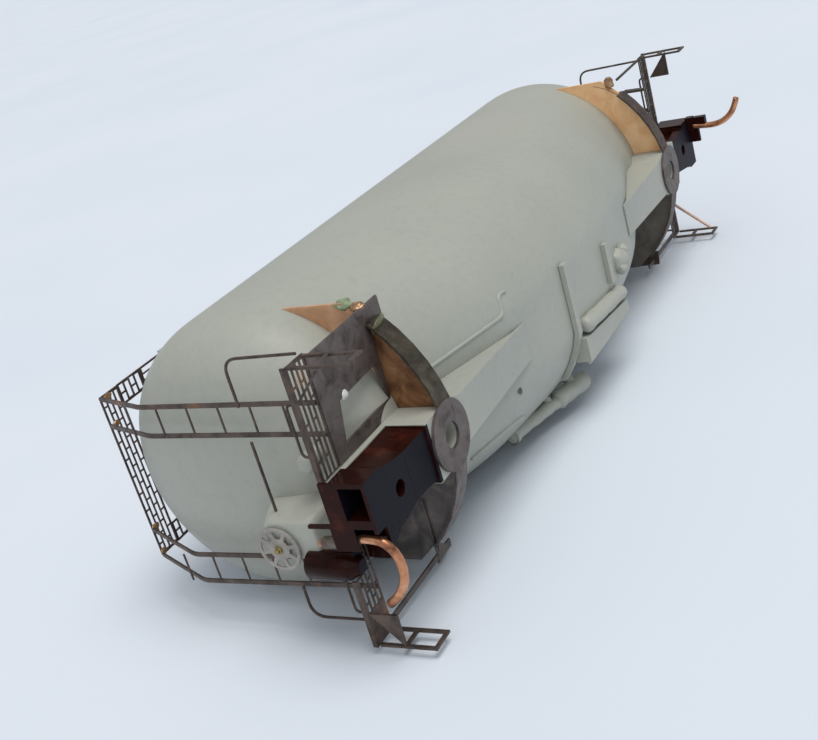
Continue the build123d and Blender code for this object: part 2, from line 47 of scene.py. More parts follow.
PLATE_CENTRE = (48.1, 0.0, 1.8)
TURN = Matrix.Rotation(math.radians(90), 4, "X")
low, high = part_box("centre_plate_near")
SHIFT = (low + high) / 2 - TURN @ (Vector(PLATE_CENTRE) * MM)
CAR = Matrix.Translation(SHIFT) @ TURN @ Matrix.Scale(MM, 4)

# Sizes in millimetres
TANK_R = 19.0
TANK_Z = 26.4
TANK_HALF = 48.4
HEAD_DEEP = 12.0
HEAD_POWER = 2.5
ETCH = 0.2
PLATFORM_TOP = 8.5
FOOT = PLATFORM_TOP + 0.02
HEAD_TIP = TANK_HALF + HEAD_DEEP
PLATFORM_IN = 61.8
PLATFORM_OUT = 65.7
PLATFORM_SIDE = 17.9
PLATFORM_MID = 3.92
LIP_IN = 65.45
LIP_HIGH = 0.45
CYLINDER_END = 8.9
BOARD_TOP = 44.4
BOARD_END = 54.2
BOARD_IN = 9.0
BOARD_WIDE = 3.6
BOARD_BAR = 0.17
BOARD_RIM = 0.24
CROSS_IN = 49.6
LADDER_OUT = 11.8
LADDER_SIDES = (7.95, 11.85)
RUNGS = 6
RUNG_FIRST = 13.1
RUNG_STEP = 4.6
SPLAY = 0.15
HOOP_X = 62.65
HOOP_TOP = 18.6
HOOP_LEFT = 18.25
HOOP_FAR = 17.3
HOOP_FAR_TOP = 20.6
HOOP_RIGHT = 16.4
RAIL_IN = 7.7
RAIL_OUT = 12.1
GRAB_X = 65.15
GRAB_IN = 7.0
GRAB_OUT = 13.4
GRAB_Z = 10.1
WHEEL_X = 65.0
WHEEL_Y = -5.2
WHEEL_Z = 18.2
CYLINDER_X = 64.45
CYLINDER_Y = -7.45
CYLINDER_LOW = 7.6
HATCH_R = 3.3
HATCH_LOW = TANK_Z + TANK_R - 0.5
HOSE_X = 65.4
HOSE_R = 0.54


def direction(x, y, z):
    """A car-frame direction in the row frame."""
    return (TURN.to_3x3() @ Vector((x, y, z))).normalized()


# Materials

def start_material(name):
    made = bpy.data.materials.new(name)
    made.use_nodes = True
    tree = made.node_tree
    shader = tree.nodes["Principled BSDF"]
    place = tree.nodes.new("ShaderNodeTexCoord").outputs["Object"]
    return made, tree, shader, place


def add_noise(tree, place, scale, detail=4.0, rough=0.55, bend=0.0):
    node = tree.nodes.new("ShaderNodeTexNoise")
    node.inputs["Scale"].default_value = scale
    node.inputs["Detail"].default_value = detail
    node.inputs["Roughness"].default_value = rough
    node.inputs["Distortion"].default_value = bend
    tree.links.new(place, node.inputs["Vector"])
    return node.outputs["Fac"]


def add_ramp(tree, value, stops):
    node = tree.nodes.new("ShaderNodeValToRGB")
    band = node.color_ramp.elements
    while len(band) < len(stops):
        band.new(0.5)
    for item, (at, colour) in zip(band, stops):
        item.position = at
        item.color = (*colour, 1.0) if len(colour) == 3 else colour
    tree.links.new(value, node.inputs["Fac"])
    return node.outputs["Color"]


def grey(value):
    return (value, value, value)


def mix_colour(tree, share, first, second):
    node = tree.nodes.new("ShaderNodeMix")
    node.data_type = "RGBA"
    tree.links.new(share, node.inputs["Factor"])
    for socket, source in (("A", first), ("B", second)):
        target = [s for s in node.inputs if s.name == socket and s.type == "RGBA"][0]
        if isinstance(source, tuple):
            target.default_value = (*source, 1.0)
        else:
            tree.links.new(source, target)
    return [s for s in node.outputs if s.type == "RGBA"][0]


def add_bump(tree, shader, height, strength, distance, before=None):
    node = tree.nodes.new("ShaderNodeBump")
    node.inputs["Strength"].default_value = strength
    node.inputs["Distance"].default_value = distance
    tree.links.new(height, node.inputs["Height"])
    if before is not None:
        tree.links.new(before, node.inputs["Normal"])
    tree.links.new(node.outputs["Normal"], shader.inputs["Normal"])
    return node.outputs["Normal"]


def facing(tree, x, y, z, start, end):
    """How far the surface faces a car-frame direction, from 0 at start to 1 at end."""
    normal = tree.nodes.new("ShaderNodeNewGeometry").outputs["Normal"]
    dot = tree.nodes.new("ShaderNodeVectorMath")
    dot.operation = "DOT_PRODUCT"
    dot.inputs[1].default_value = direction(x, y, z)
    tree.links.new(normal, dot.inputs[0])
    band = tree.nodes.new("ShaderNodeMapRange")
    band.inputs["From Min"].default_value = start
    band.inputs["From Max"].default_value = end
    tree.links.new(dot.outputs["Value"], band.inputs["Value"])
    return band.outputs["Result"]


def speckle(tree, place, scale, radius, share):
    """Small scattered dots: 1 inside a dot, 0 outside."""
    cells = tree.nodes.new("ShaderNodeTexVoronoi")
    cells.inputs["Scale"].default_value = scale
    tree.links.new(place, cells.inputs["Vector"])
    dot = add_ramp(tree, cells.outputs["Distance"], [(radius * 0.6, grey(1)), (radius, grey(0))])
    pick = tree.nodes.new("ShaderNodeSeparateColor")
    tree.links.new(cells.outputs["Color"], pick.inputs["Color"])
    chosen = add_ramp(tree, pick.outputs["Red"], [(share, grey(1)), (share + 0.01, grey(0))])
    both = tree.nodes.new("ShaderNodeVectorMath")
    both.operation = "MULTIPLY"
    tree.links.new(dot, both.inputs[0])
    tree.links.new(chosen, both.inputs[1])
    return both.outputs["Vector"]


def resin_material():
    made, tree, shader, place = start_material("cast_resin")
    cloud = add_noise(tree, place, 38, 3, 0.5, 0.3)
    base = add_ramp(tree, cloud, [(0.30, (0.375, 0.392, 0.345)), (0.52, (0.400, 0.412, 0.360)),
                                  (0.75, (0.428, 0.432, 0.378))])
    grime = add_ramp(tree, add_noise(tree, place, 900, 5, 0.7),
                     [(0.30, grey(0.93)), (0.5, grey(1)), (0.74, grey(1.02))])
    worn = tree.nodes.new("ShaderNodeVectorMath")
    worn.operation = "MULTIPLY"
    tree.links.new(base, worn.inputs[0])
    tree.links.new(grime, worn.inputs[1])
    pits = speckle(tree, place, 260, 0.045, 0.06)
    colour = mix_colour(tree, pits, worn.outputs["Vector"], (0.24, 0.24, 0.21))
    tree.links.new(colour, shader.inputs["Base Color"])
    gloss = add_ramp(tree, cloud, [(0.3, grey(0.50)), (0.7, grey(0.40))])
    tree.links.new(gloss, shader.inputs["Roughness"])
    shader.inputs["Specular IOR Level"].default_value = 0.45
    peel = add_bump(tree, shader, add_noise(tree, place, 1500, 3), 0.25, 0.00003)
    add_bump(tree, shader, add_noise(tree, place, 150, 2), 0.3, 0.00012, peel)
    return made


def brass_material(name, stops, rust, rough, metallic):
    """Etched brass with a patina: cloudy brown, dark spots and orange heat marks."""
    made, tree, shader, place = start_material(name)
    cloud = add_noise(tree, place, 420, 6, 0.65, 0.6)
    base = add_ramp(tree, cloud, stops)
    heat = add_ramp(tree, add_noise(tree, place, 140, 3, 0.6),
                    [(1 - rust, grey(0)), (1.02 - rust * 0.6, grey(1))])
    colour = mix_colour(tree, heat, base, (0.36, 0.15, 0.055))
    tree.links.new(colour, shader.inputs["Base Color"])
    polish = add_ramp(tree, add_noise(tree, place, 800, 4, 0.7),
                      [(0.3, grey(rough + 0.14)), (0.7, grey(rough - 0.10))])
    tree.links.new(polish, shader.inputs["Roughness"])
    shader.inputs["Metallic"].default_value = metallic
    add_bump(tree, shader, add_noise(tree, place, 2600, 4, 0.7), 0.5, 0.00004)
    return made


def above(tree, place, height, soft):
    """1 where the surface is higher on the car than a height in millimetres, 0 below."""
    axes = tree.nodes.new("ShaderNodeSeparateXYZ")
    tree.links.new(place, axes.inputs["Vector"])
    edge = (CAR @ Vector((0, 0, height))).y
    band = tree.nodes.new("ShaderNodeMapRange")
    band.inputs["From Min"].default_value = edge + soft * MM
    band.inputs["From Max"].default_value = edge - soft * MM
    tree.links.new(axes.outputs["Y"], band.inputs["Value"])
    return band.outputs["Result"]


BRIGHT = [(0.3, (0.50, 0.26, 0.145)), (0.52, (0.66, 0.37, 0.21)), (0.75, (0.80, 0.53, 0.34))]
BROWN = [(0.33, (0.060, 0.026, 0.012)), (0.5, (0.20, 0.085, 0.035)), (0.68, (0.40, 0.20, 0.085))]
# Painted shade: darker tones for the far right web, the same copper plate as the far left web, on the shaded
# ground side
SHADED_WEB = [(0.33, (0.13, 0.105, 0.085)), (0.5, (0.20, 0.17, 0.145)), (0.7, (0.26, 0.225, 0.19))]
MOTTLED = [(0.33, (0.065, 0.057, 0.058)), (0.5, (0.13, 0.112, 0.105)), (0.7, (0.23, 0.195, 0.165))]
BRIGHTEST = [(0.3, (0.80, 0.42, 0.19)), (0.52, (0.92, 0.56, 0.29)), (0.75, (0.98, 0.70, 0.42))]


def web_material(name, low_stops, high_stops, split, metallic):
    """A bolster web in two tones, with the change of tone at a height on the car."""
    made, tree, shader, place = start_material(name)
    cloud = add_noise(tree, place, 260, 5, 0.6, 0.8)
    low_tone, high_tone = add_ramp(tree, cloud, low_stops), add_ramp(tree, cloud, high_stops)
    colour = mix_colour(tree, above(tree, place, split, 0.4), low_tone, high_tone)
    tree.links.new(colour, shader.inputs["Base Color"])
    shader.inputs["Metallic"].default_value = metallic
    polish = add_ramp(tree, add_noise(tree, place, 900, 4, 0.7), [(0.3, grey(0.52)), (0.7, grey(0.36))])
    tree.links.new(polish, shader.inputs["Roughness"])
    add_bump(tree, shader, add_noise(tree, place, 2200, 4, 0.7), 0.35, 0.00004)
    return made


def wire_material():
    made, tree, shader, place = start_material("bare_copper_wire")
    cloud = add_noise(tree, place, 380, 4, 0.6, 0.5)
    base = add_ramp(tree, cloud, [(0.32, (0.20, 0.085, 0.045)), (0.5, (0.56, 0.25, 0.13)),
                                  (0.7, (0.80, 0.42, 0.24))])
    tree.links.new(base, shader.inputs["Base Color"])
    shader.inputs["Metallic"].default_value = 0.85
    polish = add_ramp(tree, cloud, [(0.3, grey(0.42)), (0.7, grey(0.22))])
    tree.links.new(polish, shader.inputs["Roughness"])
    add_bump(tree, shader, add_noise(tree, place, 1900, 3), 0.3, 0.00004)
    return made


def plastic_material():
    """Dark red-brown moulded plastic, shiny above; on its underside it is matt, with a painted dark
    grey-purple shade in its colour.
    """
    made, tree, shader, place = start_material("brown_moulding")
    cloud = add_noise(tree, place, 300, 4, 0.6)
    base = add_ramp(tree, cloud, [(0.3, (0.012, 0.003, 0.002)), (0.6, (0.028, 0.006, 0.004)),
                                  (0.8, (0.075, 0.016, 0.007))])
    # Painted shade: faces turned to the car's underside take a dark grey-purple colour and a matt finish
    underside_painted_shade = facing(tree, 0, 0, -1, 0.5, 0.9)
    colour = mix_colour(tree, underside_painted_shade, base, (0.007, 0.006, 0.012))
    tree.links.new(colour, shader.inputs["Base Color"])
    gloss = mix_colour(tree, underside_painted_shade, grey(0.22), grey(0.50))
    tree.links.new(gloss, shader.inputs["Roughness"])
    shader.inputs["Specular IOR Level"].default_value = 0.11
    add_bump(tree, shader, add_noise(tree, place, 1400, 3), 0.2, 0.00003)
    return made


def spot_material(name, stops, rough, metallic=0.0, coat=0.0):
    made, tree, shader, place = start_material(name)
    base = add_ramp(tree, add_noise(tree, place, 900, 5, 0.65, 0.5), stops)
    tree.links.new(base, shader.inputs["Base Color"])
    shader.inputs["Roughness"].default_value = rough
    shader.inputs["Metallic"].default_value = metallic
    shader.inputs["Coat Weight"].default_value = coat
    add_bump(tree, shader, add_noise(tree, place, 1800, 4), 0.5, 0.00006)
    return made


PATINA = [(0.30, (0.040, 0.028, 0.023)), (0.48, (0.095, 0.070, 0.058)), (0.62, (0.135, 0.098, 0.080)),
          (0.8, (0.22, 0.15, 0.10))]
PURPLE = [(0.30, (0.055, 0.040, 0.036)), (0.48, (0.125, 0.100, 0.092)), (0.66, (0.165, 0.135, 0.125)),
          (0.8, (0.24, 0.19, 0.16))]
resin = resin_material()
brass = brass_material("etched_brass", PATINA, 0.36, 0.48, 0.55)
plate = brass_material("brass_plate", PURPLE, 0.33, 0.46, 0.5)
web_near_left = web_material("web_near_left", BROWN, BRIGHT, 9.0, 0.3)
web_far_left = web_material("web_far_left", BRIGHTEST, BRIGHTEST, 9.0, 0.1)
web_near_right = web_material("web_near_right", MOTTLED, MOTTLED, 12.0, 0.25)
# Painted shade: the far right web takes the darker shaded tones
web_far_right = web_material("web_far_right", SHADED_WEB, SHADED_WEB, 12.0, 0.3)
flange = brass_material("brass_flange", [(0.30, (0.028, 0.021, 0.014)), (0.5, (0.060, 0.049, 0.032)),
                                        (0.75, (0.13, 0.11, 0.068))], 0.36, 0.5, 0.35)
wire = wire_material()
plastic = plastic_material()
GREEN = [(0.35, (0.16, 0.22, 0.12)), (0.55, (0.30, 0.37, 0.22)), (0.75, (0.50, 0.52, 0.32))]
putty = spot_material("green_putty", GREEN, 0.5)
solder = spot_material("solder", [(0.35, (0.22, 0.11, 0.05)), (0.55, (0.42, 0.25, 0.13)),
                                  (0.75, (0.60, 0.48, 0.36))], 0.35, 0.6)
pin = spot_material("brass_pin", [(0.35, (0.10, 0.07, 0.03)), (0.7, (0.55, 0.42, 0.16))], 0.3, 0.8)
sleeve = spot_material("sleeve_resin", [(0.35, (0.065, 0.045, 0.032)), (0.65, (0.17, 0.13, 0.10))], 0.4)
# Painted shadow: a dark colour for the spot on the belly where the hook's shadow falls
painted_shadow_spot = spot_material("painted_shadow_mark", [(0.35, (0.05, 0.05, 0.05)), (0.65, (0.12, 0.12, 0.12))], 0.6)
# Pale glossy glue; its two blobs on the near head are painted highlights
glue_and_highlight = spot_material("dried_glue_and_painted_highlight", [(0.35, (0.55, 0.55, 0.50)), (0.65, (0.74, 0.73, 0.68))], 0.25, 0.0, 0.4)
pale_wire = spot_material("pale_copper", [(0.35, (0.62, 0.38, 0.29)), (0.65, (0.80, 0.56, 0.45))], 0.35, 0.25)
green_flux = spot_material("green_flux", [(0.35, (0.09, 0.08, 0.045)), (0.5, (0.20, 0.21, 0.10)),
                                          (0.7, (0.42, 0.42, 0.20))], 0.4)
wheel_metal = brass_material("wheel_metal", [(0.30, (0.22, 0.20, 0.175)), (0.5, (0.34, 0.315, 0.28)),
                                             (0.75, (0.44, 0.40, 0.35))], 0.22, 0.5, 0.15)

# Materials of the plain nodes by the start of their names, the first match taken
BY_NODE = (
    (("tank", "stub", "brake_housing", "discharge", "drain", "belly", "outlet"), resin),
    (("coupler", "brake_cylinder"), plastic),
    (("bolster_web_near_left",), web_near_left),
    (("bolster_web_far_left",), web_far_left),
    (("bolster_web_near_right",), web_near_right),
    (("bolster_web_far_right",), web_far_right),
    (("bolster_flange_far",), brass),
    (("bolster_flange_near_left",), flange),
    (("step_wire",), pale_wire),
    (("train_hose",), wire),
    (("deck", "centre_plate", "bolster_flange", "platform"), plate),
    (("",), brass),
)
for name, node in nodes.items():
    chosen = next(made for starts, made in BY_NODE if name.startswith(starts))
    node.data.materials.clear()
    node.data.materials.append(chosen)

# Pieces: meshes made in the car frame, in millimetres, each carried by the one body
BODY = "root"
ENDS = (("near", 1), ("far", -1))
SIDES = (("left", 1), ("right", -1))


def make_piece(name, sheet, made, replaced=(), sharp=38):
    """Carries a mesh into the row frame, shades it and hides the nodes it replaces."""
    bmesh.ops.recalc_face_normals(sheet, faces=sheet.faces[:])
    sheet.transform(CAR)
    limit = math.radians(sharp)
    for face in sheet.faces:
        face.smooth = True
    for edge in sheet.edges:
        edge.smooth = len(edge.link_faces) == 2 and edge.calc_face_angle(0.0) < limit
    mesh = bpy.data.meshes.new(name)
    sheet.to_mesh(mesh)
    sheet.free()
    mesh.materials.append(made)
    piece = bpy.data.objects.new(name, mesh)
    bpy.context.scene.collection.objects.link(piece)
    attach(piece, BODY)
    if replaced:
        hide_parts(*replaced)
    return piece


def join_rings(sheet, first, second):
    for i in range(max(len(first), len(second))):
        corners = [first[i % len(first)], first[(i + 1) % len(first)],
                   second[(i + 1) % len(second)], second[i % len(second)]]
        sheet.faces.new(list(dict.fromkeys(corners)))


def add_stack(sheet, sections, caps=(0, -1)):
    """A skin through sections of as many points each; caps are the sections that close it."""
    rings = [[sheet.verts.new(point) for point in section] for section in sections]
    for first, second in zip(rings, rings[1:]):
        join_rings(sheet, first, second)
    for cap in caps:
        sheet.faces.new(rings[cap])


def add_lathe(sheet, profile, origin, axis, steps):
    """Turns a profile of (distance along the axis, radius) about an axis."""
    turn = Vector(axis).to_track_quat("Z", "Y").to_matrix()
    rings = []
    for along, radius in profile:
        count = steps if radius > 0 else 1
        turns = [2 * math.pi * i / count for i in range(count)]
        rings.append([sheet.verts.new(Vector(origin) + turn @ Vector(
            (radius * math.cos(a), radius * math.sin(a), along))) for a in turns])
    for first, second in zip(rings, rings[1:]):
        join_rings(sheet, first, second)


def rounded(points, bend, steps=6):
    """A path with its corners rounded off."""
    points = [Vector(p) for p in points]
    path = [points[0]]
    for before, here, after in zip(points, points[1:], points[2:]):
        reach = min(bend, (before - here).length * 0.49, (after - here).length * 0.49)
        start = here + (before - here).normalized() * reach
        end = here + (after - here).normalized() * reach
        for i in range(steps + 1):
            t = i / steps
            path.append(start * (1 - t) ** 2 + here * 2 * t * (1 - t) + end * t ** 2)
    return path + [points[-1]]


def flowing(points, steps=6):
    """A smooth path through every point."""
    points = [Vector(p) for p in points]
    padded = [points[0] * 2 - points[1]] + points + [points[-1] * 2 - points[-2]]
    path = []
    for a, b, c, d in zip(padded, padded[1:], padded[2:], padded[3:]):
        for i in range(steps):
            t = i / steps
            path.append((b * 2 + (c - a) * t + (a * 2 - b * 5 + c * 4 - d) * t * t
                         + (b * 3 - a - c * 3 + d) * t ** 3) / 2)
    return path + [points[-1]]


def add_tube(sheet, path, wide, thick=None, sides=10, end_round=0.35):
    """A wire along a path, with softened cut ends; wide and thick are its half sizes."""
    thick = wide if thick is None else thick
    path = [Vector(p) for p in path]
    first, last = (path[1] - path[0]).normalized(), (path[-1] - path[-2]).normalized()
    soft = min(wide, thick) * end_round
    stations = [(path[0], 1 - end_round, first), (path[0] + first * soft, 1.0, first)]
    for before, here, after in zip(path, path[1:], path[2:]):
        along = ((here - before).normalized() + (after - here).normalized()).normalized()
        stations.append((here, 1.0, along))
    stations += [(path[-1] - last * soft, 1.0, last), (path[-1], 1 - end_round, last)]
    across = first.orthogonal().normalized()
    if abs(first.x) < 0.9:
        across = (Vector((1, 0, 0)) - first * first.x).normalized()
    rings = []
    for here, size, along in stations:
        across = (across - along * across.dot(along)).normalized()
        other = along.cross(across)
        rings.append([sheet.verts.new(here + across * wide * size * math.cos(2 * math.pi * i / sides)
                                      + other * thick * size * math.sin(2 * math.pi * i / sides))
                      for i in range(sides)])
    for one, two in zip(rings, rings[1:]):
        join_rings(sheet, one, two)
    sheet.faces.new(rings[0])
    sheet.faces.new(rings[-1])


def add_cells(sheet, us, vs, filled, place, low, high):
    """A plate cut on a grid: filled(i, j) says whether a cell is metal."""
    corners = {}

    def corner(i, j, w):
        if (i, j, w) not in corners:
            corners[i, j, w] = sheet.verts.new(place(us[i], vs[j], w))
        return corners[i, j, w]

    cells = {(i, j) for i in range(len(us) - 1) for j in range(len(vs) - 1) if filled(i, j)}
    for i, j in sorted(cells):
        ring = ((i, j), (i + 1, j), (i + 1, j + 1), (i, j + 1))
        for w in (low, high):
            sheet.faces.new([corner(a, b, w) for a, b in ring])
        for k, beside in enumerate(((i, j - 1), (i + 1, j), (i, j + 1), (i - 1, j))):
            if beside not in cells:
                (a, b), (c, d) = ring[k], ring[(k + 1) % 4]
                sheet.faces.new([corner(a, b, low), corner(c, d, low),
                                 corner(c, d, high), corner(a, b, high)])


def add_grating(sheet, u_span, v_span, rows, bar, rims, lengths, margins, place, top):
    """An etched walkway: rows of long slots, with staggered ties as wide as the bars."""
    u0, u1 = u_span
    slot = (u1 - u0 - sum(rims) - bar * (rows - 1)) / rows
    us = [u0]
    for i in range(rows):
        start = u0 + rims[0] + i * (slot + bar)
        us += [start, start + slot]
    us.append(u1)
    v0, v1 = v_span[0] + margins[0], v_span[1] - margins[1]
    pitch = (v1 - v0) / lengths
    ties = [[v0 + pitch * (k + shift) for k in range(lengths + 1)] for shift in (0.0, 0.5)]
    cuts = {at + side * bar / 2 for row in ties for at in row for side in (1, -1)}
    vs = sorted({v_span[0], v0, v1, v_span[1]} | {v for v in cuts if v0 < v < v1})

    def filled(i, j):
        middle = (vs[j] + vs[j + 1]) / 2
        if i % 2 == 0 or not v0 < middle < v1:
            return True
        return any(abs(middle - at) < bar / 2 for at in ties[i // 2 % 2])

    add_cells(sheet, us, vs, filled, place, top - ETCH, top)


def corner_place(sx, sy):
    """Places the points of the near left corner at a corner of the car."""
    return lambda u, v, w: Vector((sx * u, sy * v, w))


def add_plate(sheet, u_span, v_span, place, low, high):
    add_cells(sheet, u_span, v_span, lambda i, j: True, place, low, high)


def add_block(sheet, x0, x1, y0, y1, z0, z1):
    add_plate(sheet, (x0, x1), (y0, y1), corner_place(1, 1), z0, z1)


def add_blob(sheet, centre, sizes, seed, rough=0.3, axis=(0, 0, 1)):
    """A drop of glue, putty or solder: a rough ball of three half sizes."""
    turn = Vector(axis).to_track_quat("Z", "Y").to_matrix()
    ball = bmesh.ops.create_icosphere(sheet, subdivisions=3, radius=1.0)
    for v in ball["verts"]:
        swell = 1 + rough * noise.noise(v.co * 1.6 + Vector((seed, seed * 2.3, 0)))
        v.co = Vector(centre) + turn @ Vector([a * b * swell for a, b in zip(v.co, sizes)])


# Tank barrel: one smooth casting whose lower half drops to the belly, with its hatches and walk seats.
# Columns: distance from the middle of the car, height of the centre of the lower arc
BELLY = ((0.0, 19.274), (10.4, 19.274), (25.3, 20.774), (42.0, 25.724), (48.4, 26.4), (60.0, 26.4))
STRIP_DROP = 18.274
STRIP_END = 46.5
STRIP_FADE = 5
STRIP_SINK = 1.5
STRIP_BLEND = 0.02
BARREL_STEPS = 60
UPPER_STEPS = 56
LOWER_STEPS = 64


def belly_centre(x):
    """Height of the centre of the lower arc, softened along the car."""
    total = 0.0
    for shift in range(-3, 4):
        at = abs(x + shift)
        for (x0, z0), (x1, z1) in zip(BELLY, BELLY[1:]):
            if x0 <= at <= x1:
                total += z0 + (z1 - z0) * (at - x0) / (x1 - x0)
                break
    return total / 7


def belly_skin(x, y):
    """Height of the underside, with the flat strip along the middle blended in."""
    middle = belly_centre(x)
    arc = middle - math.sqrt(max(TANK_R ** 2 - y ** 2, 0.0))
    fade = min(max((STRIP_END - abs(x)) / STRIP_FADE, 0.0), 1.0)
    strip = middle - STRIP_DROP - (1 - fade) * STRIP_SINK
    gap = arc - strip
    return strip + (gap + math.sqrt(gap * gap + STRIP_BLEND)) / 2


def barrel_section(x):
    """Points round the barrel at one place along the car."""
    section = []
    for k in range(UPPER_STEPS + 1):
        a = math.pi * k / UPPER_STEPS
        section.append((x, TANK_R * math.cos(a), TANK_Z + TANK_R * math.sin(a)))
    for k in range(1, LOWER_STEPS):
        a = math.pi + math.pi * k / LOWER_STEPS
        y = TANK_R * math.cos(a)
        z = belly_skin(x, y) if abs(x) < TANK_HALF else TANK_Z + TANK_R * math.sin(a)
        section.append((x, y, z))
    return section


stops = [-TANK_HALF + 2 * TANK_HALF * i / BARREL_STEPS for i in range(1, BARREL_STEPS)]
sheet = bmesh.new()
add_stack(sheet, [barrel_section(x) for x in [-TANK_HALF] + stops + [TANK_HALF]], caps=())
HATCH = ((0, HATCH_R), (1.15, HATCH_R), (1.27, 3.22), (1.3, 3.1), (1.3, 2.5), (1.24, 2.4), (1.24, 0))
for i in (-3, -1, 1, 3):
    x = i * TANK_HALF / 4.4
    add_lathe(sheet, HATCH, (x, 0, HATCH_LOW), (0, 0, 1), 48)
    add_block(sheet, x - 0.3, x + 0.3, -3.8, 3.8, HATCH_LOW, TANK_Z + TANK_R + 1.1)
for i in range(-2, 3):
    x = i * (TANK_HALF - 3.4) / 2
    for flank, sy in SIDES:
        add_block(sheet, x - 0.6, x + 0.6, sy * 9.2, sy * 12.4, 39.0, 43.95)
make_piece("shell", sheet, resin, ["tank_barrel"], 30)

# Raised beads on the belly
NEAR_BEAD = ((40.6, 5.2), (38.4, 5.2), (35.0, 5.25), (32.3, 5.3), (29.0, 5.35), (26.6, 5.4), (25.8, 5.7),
             (25.3, 6.6), (24.9, 7.4), (24.1, 7.75), (23.0, 7.65))
RIGHT_RAIL = ((35.0, -10.9), (30.7, -10.5), (25.8, -10.4), (23.5, -11.0))
for name, route, rise, wide, thick in (("bead_near", NEAR_BEAD, 0.02, 0.27, 0.22),
                                       ("rail_near_right", RIGHT_RAIL, 0.05, 0.42, 0.4)):
    sheet = bmesh.new()
    add_tube(sheet, flowing([(x, y, belly_skin(x, y) + rise) for x, y in route], 4), wide, thick)
    make_piece(name, sheet, resin)


NOISE_PLACES = (Vector((9.3, -1.5, -8.0)), Vector((0.0, 0.0, 0.0)), Vector((6.3, 0.2, -2.7)))


def roughen(sheet, amount, scale):
    """Gives a cast piece an uneven skin, the same one in every run."""
    for v in sheet.verts:
        at = v.co * scale
        v.co += Vector([noise.noise(at + place) for place in NOISE_PLACES]) * amount


def add_pipe(sheet, start, end, radius, steps, sides, end_round):
    """A straight pipe with enough rings for an uneven skin."""
    start, end = Vector(start), Vector(end)
    path = [start.lerp(end, k / steps) for k in range(steps + 1)]
    add_tube(sheet, path, radius, sides=sides, end_round=end_round)


# Discharge and drain piping, with soft cast ends
sheet = bmesh.new()
for start, end, radius in (((21.6, -14.88, 8.4), (10.0, -15.6, 5.85), 0.98),
                           ((10.9, -15.35, 5.9), (3.2, -15.4, 3.8), 1.35),
                           ((22.4, -14.85, 8.55), (21.0, -14.9, 8.25), 1.3)):
    add_pipe(sheet, start, end, radius, 12, 24, 0.4)
for x, y, z in ((18.0, -14.6, 7.6), (12.0, -15.0, 6.3), (6.0, -14.8, 4.6)):
    add_tube(sheet, [(x, y, z), (x, y * 0.8, z + 4.0)], 0.75, sides=14)
roughen(sheet, 0.22, 0.5)
make_piece("discharge_casting", sheet, resin, ["discharge_pipe"], 55)
sheet = bmesh.new()
add_pipe(sheet, (6.9, -5.25, 0.45), (-10.6, -7.25, 0.8), 1.18, 14, 28, 0.45)
roughen(sheet, 0.16, 0.45)
make_piece("drain_casting", sheet, resin, ["drain_pipe"], 55)
sheet = bmesh.new()
add_tube(sheet, [(-10.3, -10.3, 0.3), (-4.0, -10.35, 0.28), (2.5, -10.4, 0.3), (8.2, -10.4, 0.35)], 0.34)
roughen(sheet, 0.08, 0.6)
make_piece("tray_rail", sheet, resin)
sheet = bmesh.new()
for at, sizes, seed in (((-13.1, -3.0, 1.3), (1.9, 1.95, 1.7), 2), ((-14.3, -2.0, 0.6), (0.9, 1.2, 0.9), 8),
                        ((-12.2, -4.2, 0.5), (1.0, 0.95, 0.9), 15)):
    add_blob(sheet, at, sizes, seed, 0.25)
make_piece("valve_casting", sheet, resin, ["outlet_valve_far"], 80)

# Tank heads: smooth domes over the faceted solids, with the boss on the near one
HEAD_RINGS = 26
SEAT_RING = (-0.4, TANK_R - 0.9)
BOSS = ((0, 1.2), (4.55, 1.2), (4.85, 1.05), (5.0, 0.8), (5.0, 0))
for end, sign in ENDS:
    sheet = bmesh.new()
    profile = [SEAT_RING, (0.0, TANK_R)]
    for i in range(1, HEAD_RINGS + 1):
        a = math.pi / 2 * i / HEAD_RINGS
        radius = TANK_R * math.cos(a) ** (2 / HEAD_POWER) if i < HEAD_RINGS else 0
        profile.append((HEAD_DEEP * math.sin(a) ** (2 / HEAD_POWER), radius))
    add_lathe(sheet, profile, (sign * TANK_HALF, 0, TANK_Z), (sign, 0, 0), 112)
    if end == "near":
        add_lathe(sheet, BOSS, (HEAD_TIP - 4.4, 3.4, PLATFORM_TOP + 5.4), (1, 0, 0), 28)
    make_piece("dome_" + end, sheet, resin, ["tank_head_" + end])

# Etched end platforms with a lip along the outer edge, the near right one cut round the brake cylinder
NARROW_MID = 4.7
NARROW_OUT = 63.52
for end, sx in ENDS:
    for flank, sy in SIDES:
        sheet = bmesh.new()
        place = corner_place(sx, sy)
        by_cylinder = (end, flank) == ("near", "right")
        span = (CYLINDER_END if by_cylinder else PLATFORM_MID, PLATFORM_SIDE)
        lengths, outer = (2, 4.3) if by_cylinder else (3, 0.4)
        add_grating(sheet, (PLATFORM_IN, LIP_IN), span, 4, ETCH, (0.22, 0.3), lengths, (0.02, outer), place,
                    PLATFORM_TOP)
        add_plate(sheet, (LIP_IN, PLATFORM_OUT), span, place, PLATFORM_TOP - ETCH, PLATFORM_TOP + LIP_HIGH)
        if by_cylinder:
            add_grating(sheet, (PLATFORM_IN, NARROW_OUT), (NARROW_MID, CYLINDER_END), 2, ETCH, (0.22, ETCH),
                        1, (0.4, 0.0), place, PLATFORM_TOP)
        make_piece(f"grating_{end}_{flank}", sheet, brass, [f"platform_{end}_{flank}"])

